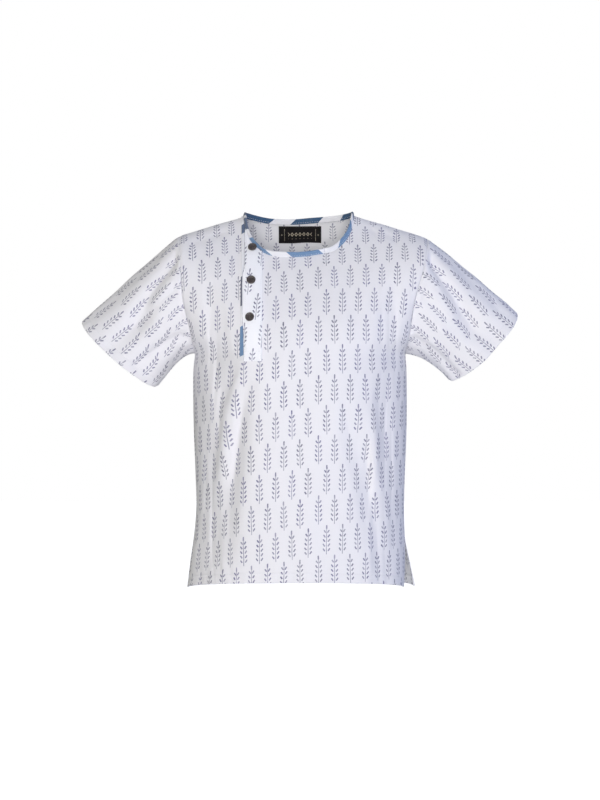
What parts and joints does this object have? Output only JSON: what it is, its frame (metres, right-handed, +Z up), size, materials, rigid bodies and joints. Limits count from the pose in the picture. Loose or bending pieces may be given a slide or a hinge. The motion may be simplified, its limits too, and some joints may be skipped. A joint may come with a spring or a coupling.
{
  "type": "kurta tunic",
  "caption": "Child's hip-length cotton kurta with short set-in sleeves, bound round neck, off-centre buttoned placket and side vents, filled out and hollow as when worn.",
  "frame": {"origin": "midway between the two neck points, on the line where the wearer's shoulders hold the kurta up", "axes": "+Z up, -Y towards the front, +X towards the wearer's left"},
  "size_m": [0.5649, 0.1883, 0.4881],
  "materials": {
    "printed_cotton": "matt white cotton, block-printed with small slate-violet sprigs",
    "binding_cotton": "matt cotton bias binding in slanting blue and white stripes",
    "button_shell": "dark polished coconut shell",
    "label_satin": "black woven satin"
  },
  "bodies": {
    "root": {"front_body": "printed_cotton", "back_body": "printed_cotton", "sleeve_right": "printed_cotton", "sleeve_left": "printed_cotton", "placket": "printed_cotton", "placket_piping": "binding_cotton", "neck_binding": "binding_cotton", "neck_label": "label_satin", "button_1": "button_shell", "button_2": "button_shell", "button_3": "button_shell"}
  },
  "joints": []
}
